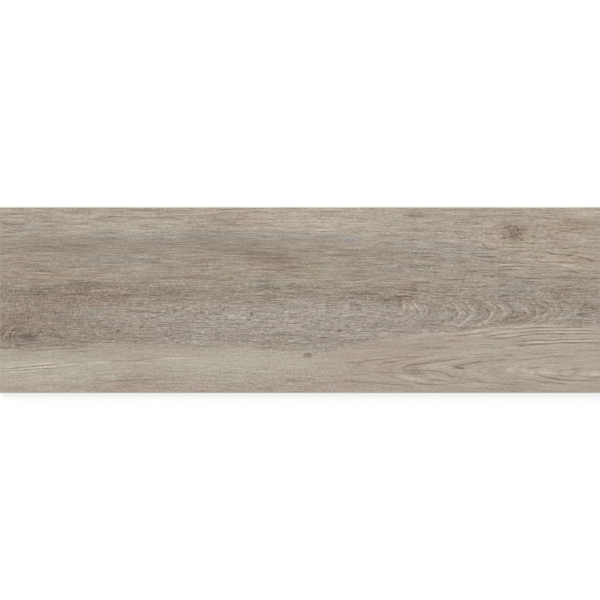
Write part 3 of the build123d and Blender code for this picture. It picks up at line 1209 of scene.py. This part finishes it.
# fired body seen without its glaze: pressed grains of a few tenths of a millimetre and a cloudy tone
def makeBodyGroup():
    look = firedBody
    group = bpy.data.node_groups.new("firedBody", "ShaderNodeTree")
    group.interface.new_socket("Place", in_out="INPUT", socket_type="NodeSocketVector")
    group.interface.new_socket("Tone", in_out="OUTPUT", socket_type="NodeSocketFloat")
    group.interface.new_socket("Height", in_out="OUTPUT", socket_type="NodeSocketFloat")
    start = addNode(group, "NodeGroupInput")
    end = addNode(group, "NodeGroupOutput")
    grains = addNode(group, "ShaderNodeTexNoise", Scale=1 / look["grainSize"], Detail=2.0, Roughness=0.6)
    clouds = addNode(group, "ShaderNodeTexNoise", Scale=1 / look["cloudSize"], Detail=3.0, Roughness=0.5)
    specks = addNode(group, "ShaderNodeTexVoronoi", Scale=1 / look["speckSpacing"], Randomness=1.0)
    for node in (grains, clouds, specks):
        group.links.new(start.outputs[0], node.inputs["Vector"])
    layers = [addFade(group, specks.outputs["Distance"], *look["speckRim"], high=look["speckTone"])]
    for node, strength in ((grains, look["grainTone"]), (clouds, look["cloudTone"])):
        centred = addMath(group, "SUBTRACT", node.outputs[0], noiseMiddle)
        layers.append(addMath(group, "MULTIPLY", centred, strength))
    group.links.new(addSum(group, layers), end.inputs["Tone"])
    group.links.new(grains.outputs[0], end.inputs["Height"])
    return group


bodyGroup = makeBodyGroup()


def startBody(name, roughness):
    material, tree = startMaterial(name)
    shader = tree.nodes["Principled BSDF"]
    shader.inputs["Roughness"].default_value = roughness
    place = addNode(tree, "ShaderNodeTexCoord").outputs["Object"]
    body = addNode(tree, "ShaderNodeGroup", node_tree=bodyGroup)
    tree.links.new(place, body.inputs[0])
    bump = addNode(
        tree, "ShaderNodeBump", Strength=firedBody["bumpStrength"], Distance=firedBody["bumpDepth"]
    )
    tree.links.new(body.outputs["Height"], bump.inputs["Height"])
    tree.links.new(bump.outputs[0], shader.inputs["Normal"])
    parts = addNode(tree, "ShaderNodeSeparateXYZ")
    tree.links.new(place, parts.inputs[0])
    return material, tree, place, body.outputs["Tone"], parts.outputs


def blendColour(tree, share, under, over):
    mix = addNode(tree, "ShaderNodeMix", data_type="RGBA")
    tree.links.new(share, mix.inputs[0])
    for socket, colour in ((mix.inputs[6], under), (mix.inputs[7], over)):
        if isinstance(colour, tuple):
            socket.default_value = (*(c / pictureSteps for c in colour), 1)
        else:
            tree.links.new(colour, socket)
    return mix.outputs[2]


# a colour, toned up or down by picture steps
def finishColour(tree, colour, tone):
    split = addNode(tree, "ShaderNodeSeparateColor")
    tree.links.new(colour, split.inputs[0])
    step = addMath(tree, "DIVIDE", tone, pictureSteps)
    addBaseColour(tree, [addMath(tree, "ADD", channel, step) for channel in split.outputs])


groundSide = {
    "body": (192, 182, 167),
    "engobe": (222, 215, 204),
    "glaze": (168, 157, 143),
    # heights above the bed between which each coat begins
    "engobeStart": (7.2 * mm, 7.4 * mm),
    "glazeStart": (7.74 * mm, 7.86 * mm),
    "grinding": (26 * mm, 0.32 * mm, 6.0, 1.0, 34),  # length, width, seed, detail, strength
    "roughness": 0.66,
}


# sides ground to size after firing: the cut body, and the light engobe and the glaze in the arris
def makeGroundSide():
    look = groundSide
    material, tree, place, tone, (x, y, z) = startBody("groundSide", look["roughness"])
    run = addNode(tree, "ShaderNodeCombineXYZ")
    tree.links.new(addMath(tree, "ADD", x, y), run.inputs[0])
    tree.links.new(z, run.inputs[1])
    marks = addStreaks(tree, run.outputs[0], look["grinding"])
    colour = blendColour(tree, addFade(tree, z, *look["engobeStart"]), look["body"], look["engobe"])
    colour = blendColour(tree, addFade(tree, z, *look["glazeStart"]), colour, look["glaze"])
    finishColour(tree, colour, addMath(tree, "ADD", tone, marks))
    return material


pressedBack = {
    "body": (186, 174, 157),
    # painted shade: colour of the recessed cells, darker than the body
    "cell": (178, 166, 149),
    "wash": (219, 213, 204),
    "rollerTrail": (15 * mm, 240 * mm, 9.0, 2.0, 34),  # length, width, seed, detail, strength
    "washPatches": (16 * mm, 11 * mm, 12.0, 3.0, 1.6),
    "washShare": 0.5,
    # heights above the bed where the wash and the painted shade of the recessed cells begin and are full
    "washHeights": (0.3 * mm, 0.05 * mm),
    "cellHeights": (0.4 * mm, 0.75 * mm),
    "roughness": 0.86,
}


# pressed back: painted shade that darkens the recessed cells, and the pale kiln wash that rubs off on the rib
# crests
def makePressedBack():
    look = pressedBack
    material, tree, place, tone, (x, y, z) = startBody("pressedBack", look["roughness"])
    crest = addFade(tree, z, *look["washHeights"])
    patches = addMath(tree, "ADD", addStreaks(tree, place, look["washPatches"]), look["washShare"])
    wash = addNode(tree, "ShaderNodeMath", operation="MULTIPLY", use_clamp=True)
    tree.links.new(crest, wash.inputs[0])
    tree.links.new(patches, wash.inputs[1])
    # painted shade darkens the body towards the recessed cells
    colour = blendColour(tree, addFade(tree, z, *look["cellHeights"]), look["body"], look["cell"])
    colour = blendColour(tree, wash.outputs[0], colour, look["wash"])
    finishColour(tree, colour, addMath(tree, "ADD", tone, addStreaks(tree, place, look["rollerTrail"])))
    return material


mesh.materials.append(makePrintedFace())
mesh.materials.append(makeGroundSide())
mesh.materials.append(makePressedBack())
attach(tile, "root")
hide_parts("porcelain_tile")
print("materials:", [m.name for m in mesh.materials])


# plain pale floor, soft light and a camera straight above the face
studio = {
    "lens": 200,
    "sensor": 36,
    "floorSize": 6.0,
    "floorDrop": 0.2 * mm,
    "floorShade": 0.3,
    "floorGlow": 0.72,
    "skyLevel": 0.6,
    "lampLevel": 0.4,
    "lampHeight": 42,  # degrees above the floor
    "lampTurn": 130,
    "lampSoftness": 40,
}


# one for rays that show a thing or its reflection, zero for rays that light the tile
def addSeen(tree):
    path = addNode(tree, "ShaderNodeLightPath")
    shown = addMath(tree, "MAXIMUM", path.outputs["Is Glossy Ray"], path.outputs["Is Transmission Ray"])
    return addMath(tree, "MAXIMUM", path.outputs["Is Camera Ray"], shown)


def makeFloor():
    bm = bmesh.new()
    bmesh.ops.create_grid(bm, x_segments=1, y_segments=1, size=studio["floorSize"] / 2)
    floorMesh = bpy.data.meshes.new("floor")
    bm.to_mesh(floorMesh)
    bm.free()
    floor = bpy.data.objects.new("floor", floorMesh)
    floor.location.z = tileLow.z - studio["floorDrop"]
    floor.visible_diffuse = False  # the tile's sides and back get the sky's light from below
    floor.visible_shadow = False
    bpy.context.scene.collection.objects.link(floor)
    material, tree = startMaterial("paleFloor")
    tree.nodes.remove(tree.nodes["Principled BSDF"])
    plain = addNode(tree, "ShaderNodeBsdfDiffuse", Color=(*[studio["floorShade"]] * 3, 1))
    glow = addNode(tree, "ShaderNodeEmission")
    tree.links.new(addMath(tree, "MULTIPLY", addSeen(tree), studio["floorGlow"]), glow.inputs["Strength"])
    both = addNode(tree, "ShaderNodeAddShader")
    tree.links.new(plain.outputs[0], both.inputs[0])
    tree.links.new(glow.outputs[0], both.inputs[1])
    side = addNode(tree, "ShaderNodeNewGeometry")
    clear = addNode(tree, "ShaderNodeBsdfTransparent")
    oneSided = addNode(tree, "ShaderNodeMixShader")  # from below the floor is clear, so the back shows
    tree.links.new(side.outputs["Backfacing"], oneSided.inputs[0])
    tree.links.new(both.outputs[0], oneSided.inputs[1])
    tree.links.new(clear.outputs[0], oneSided.inputs[2])
    tree.links.new(oneSided.outputs[0], tree.nodes["Material Output"].inputs["Surface"])
    floorMesh.materials.append(material)


def makeLight():
    world = bpy.data.worlds.new("studioSky")
    bpy.context.scene.world = world
    world.use_nodes = True
    tree = world.node_tree
    sky = tree.nodes["Background"]
    sky.inputs["Color"].default_value = (1, 1, 1, 1)
    extra = addMath(tree, "MULTIPLY", addSeen(tree), 1 - studio["skyLevel"])
    tree.links.new(addMath(tree, "ADD", extra, studio["skyLevel"]), sky.inputs["Strength"])
    lamp = bpy.data.lights.new("softLamp", "SUN")
    height = math.radians(studio["lampHeight"])
    lamp.energy = studio["lampLevel"] * math.pi / math.sin(height)
    lamp.angle = math.radians(studio["lampSoftness"])
    lampObject = bpy.data.objects.new("softLamp", lamp)
    lampObject.rotation_euler = (0, math.pi / 2 - height, math.radians(studio["lampTurn"]))
    bpy.context.scene.collection.objects.link(lampObject)


def makeCamera():
    camera = bpy.data.cameras.new("camera")
    camera.lens = studio["lens"]
    camera.sensor_width = studio["sensor"]
    cameraObject = bpy.data.objects.new("camera", camera)
    distance = 2 * faceHalfLength * studio["lens"] / studio["sensor"]
    cameraObject.location = (0, 0, tileHigh.z + distance)
    bpy.context.scene.collection.objects.link(cameraObject)
    bpy.context.scene.camera = cameraObject


makeFloor()
makeLight()
makeCamera()
bpy.context.scene.view_settings.view_transform = "Standard"
print("studio ready")
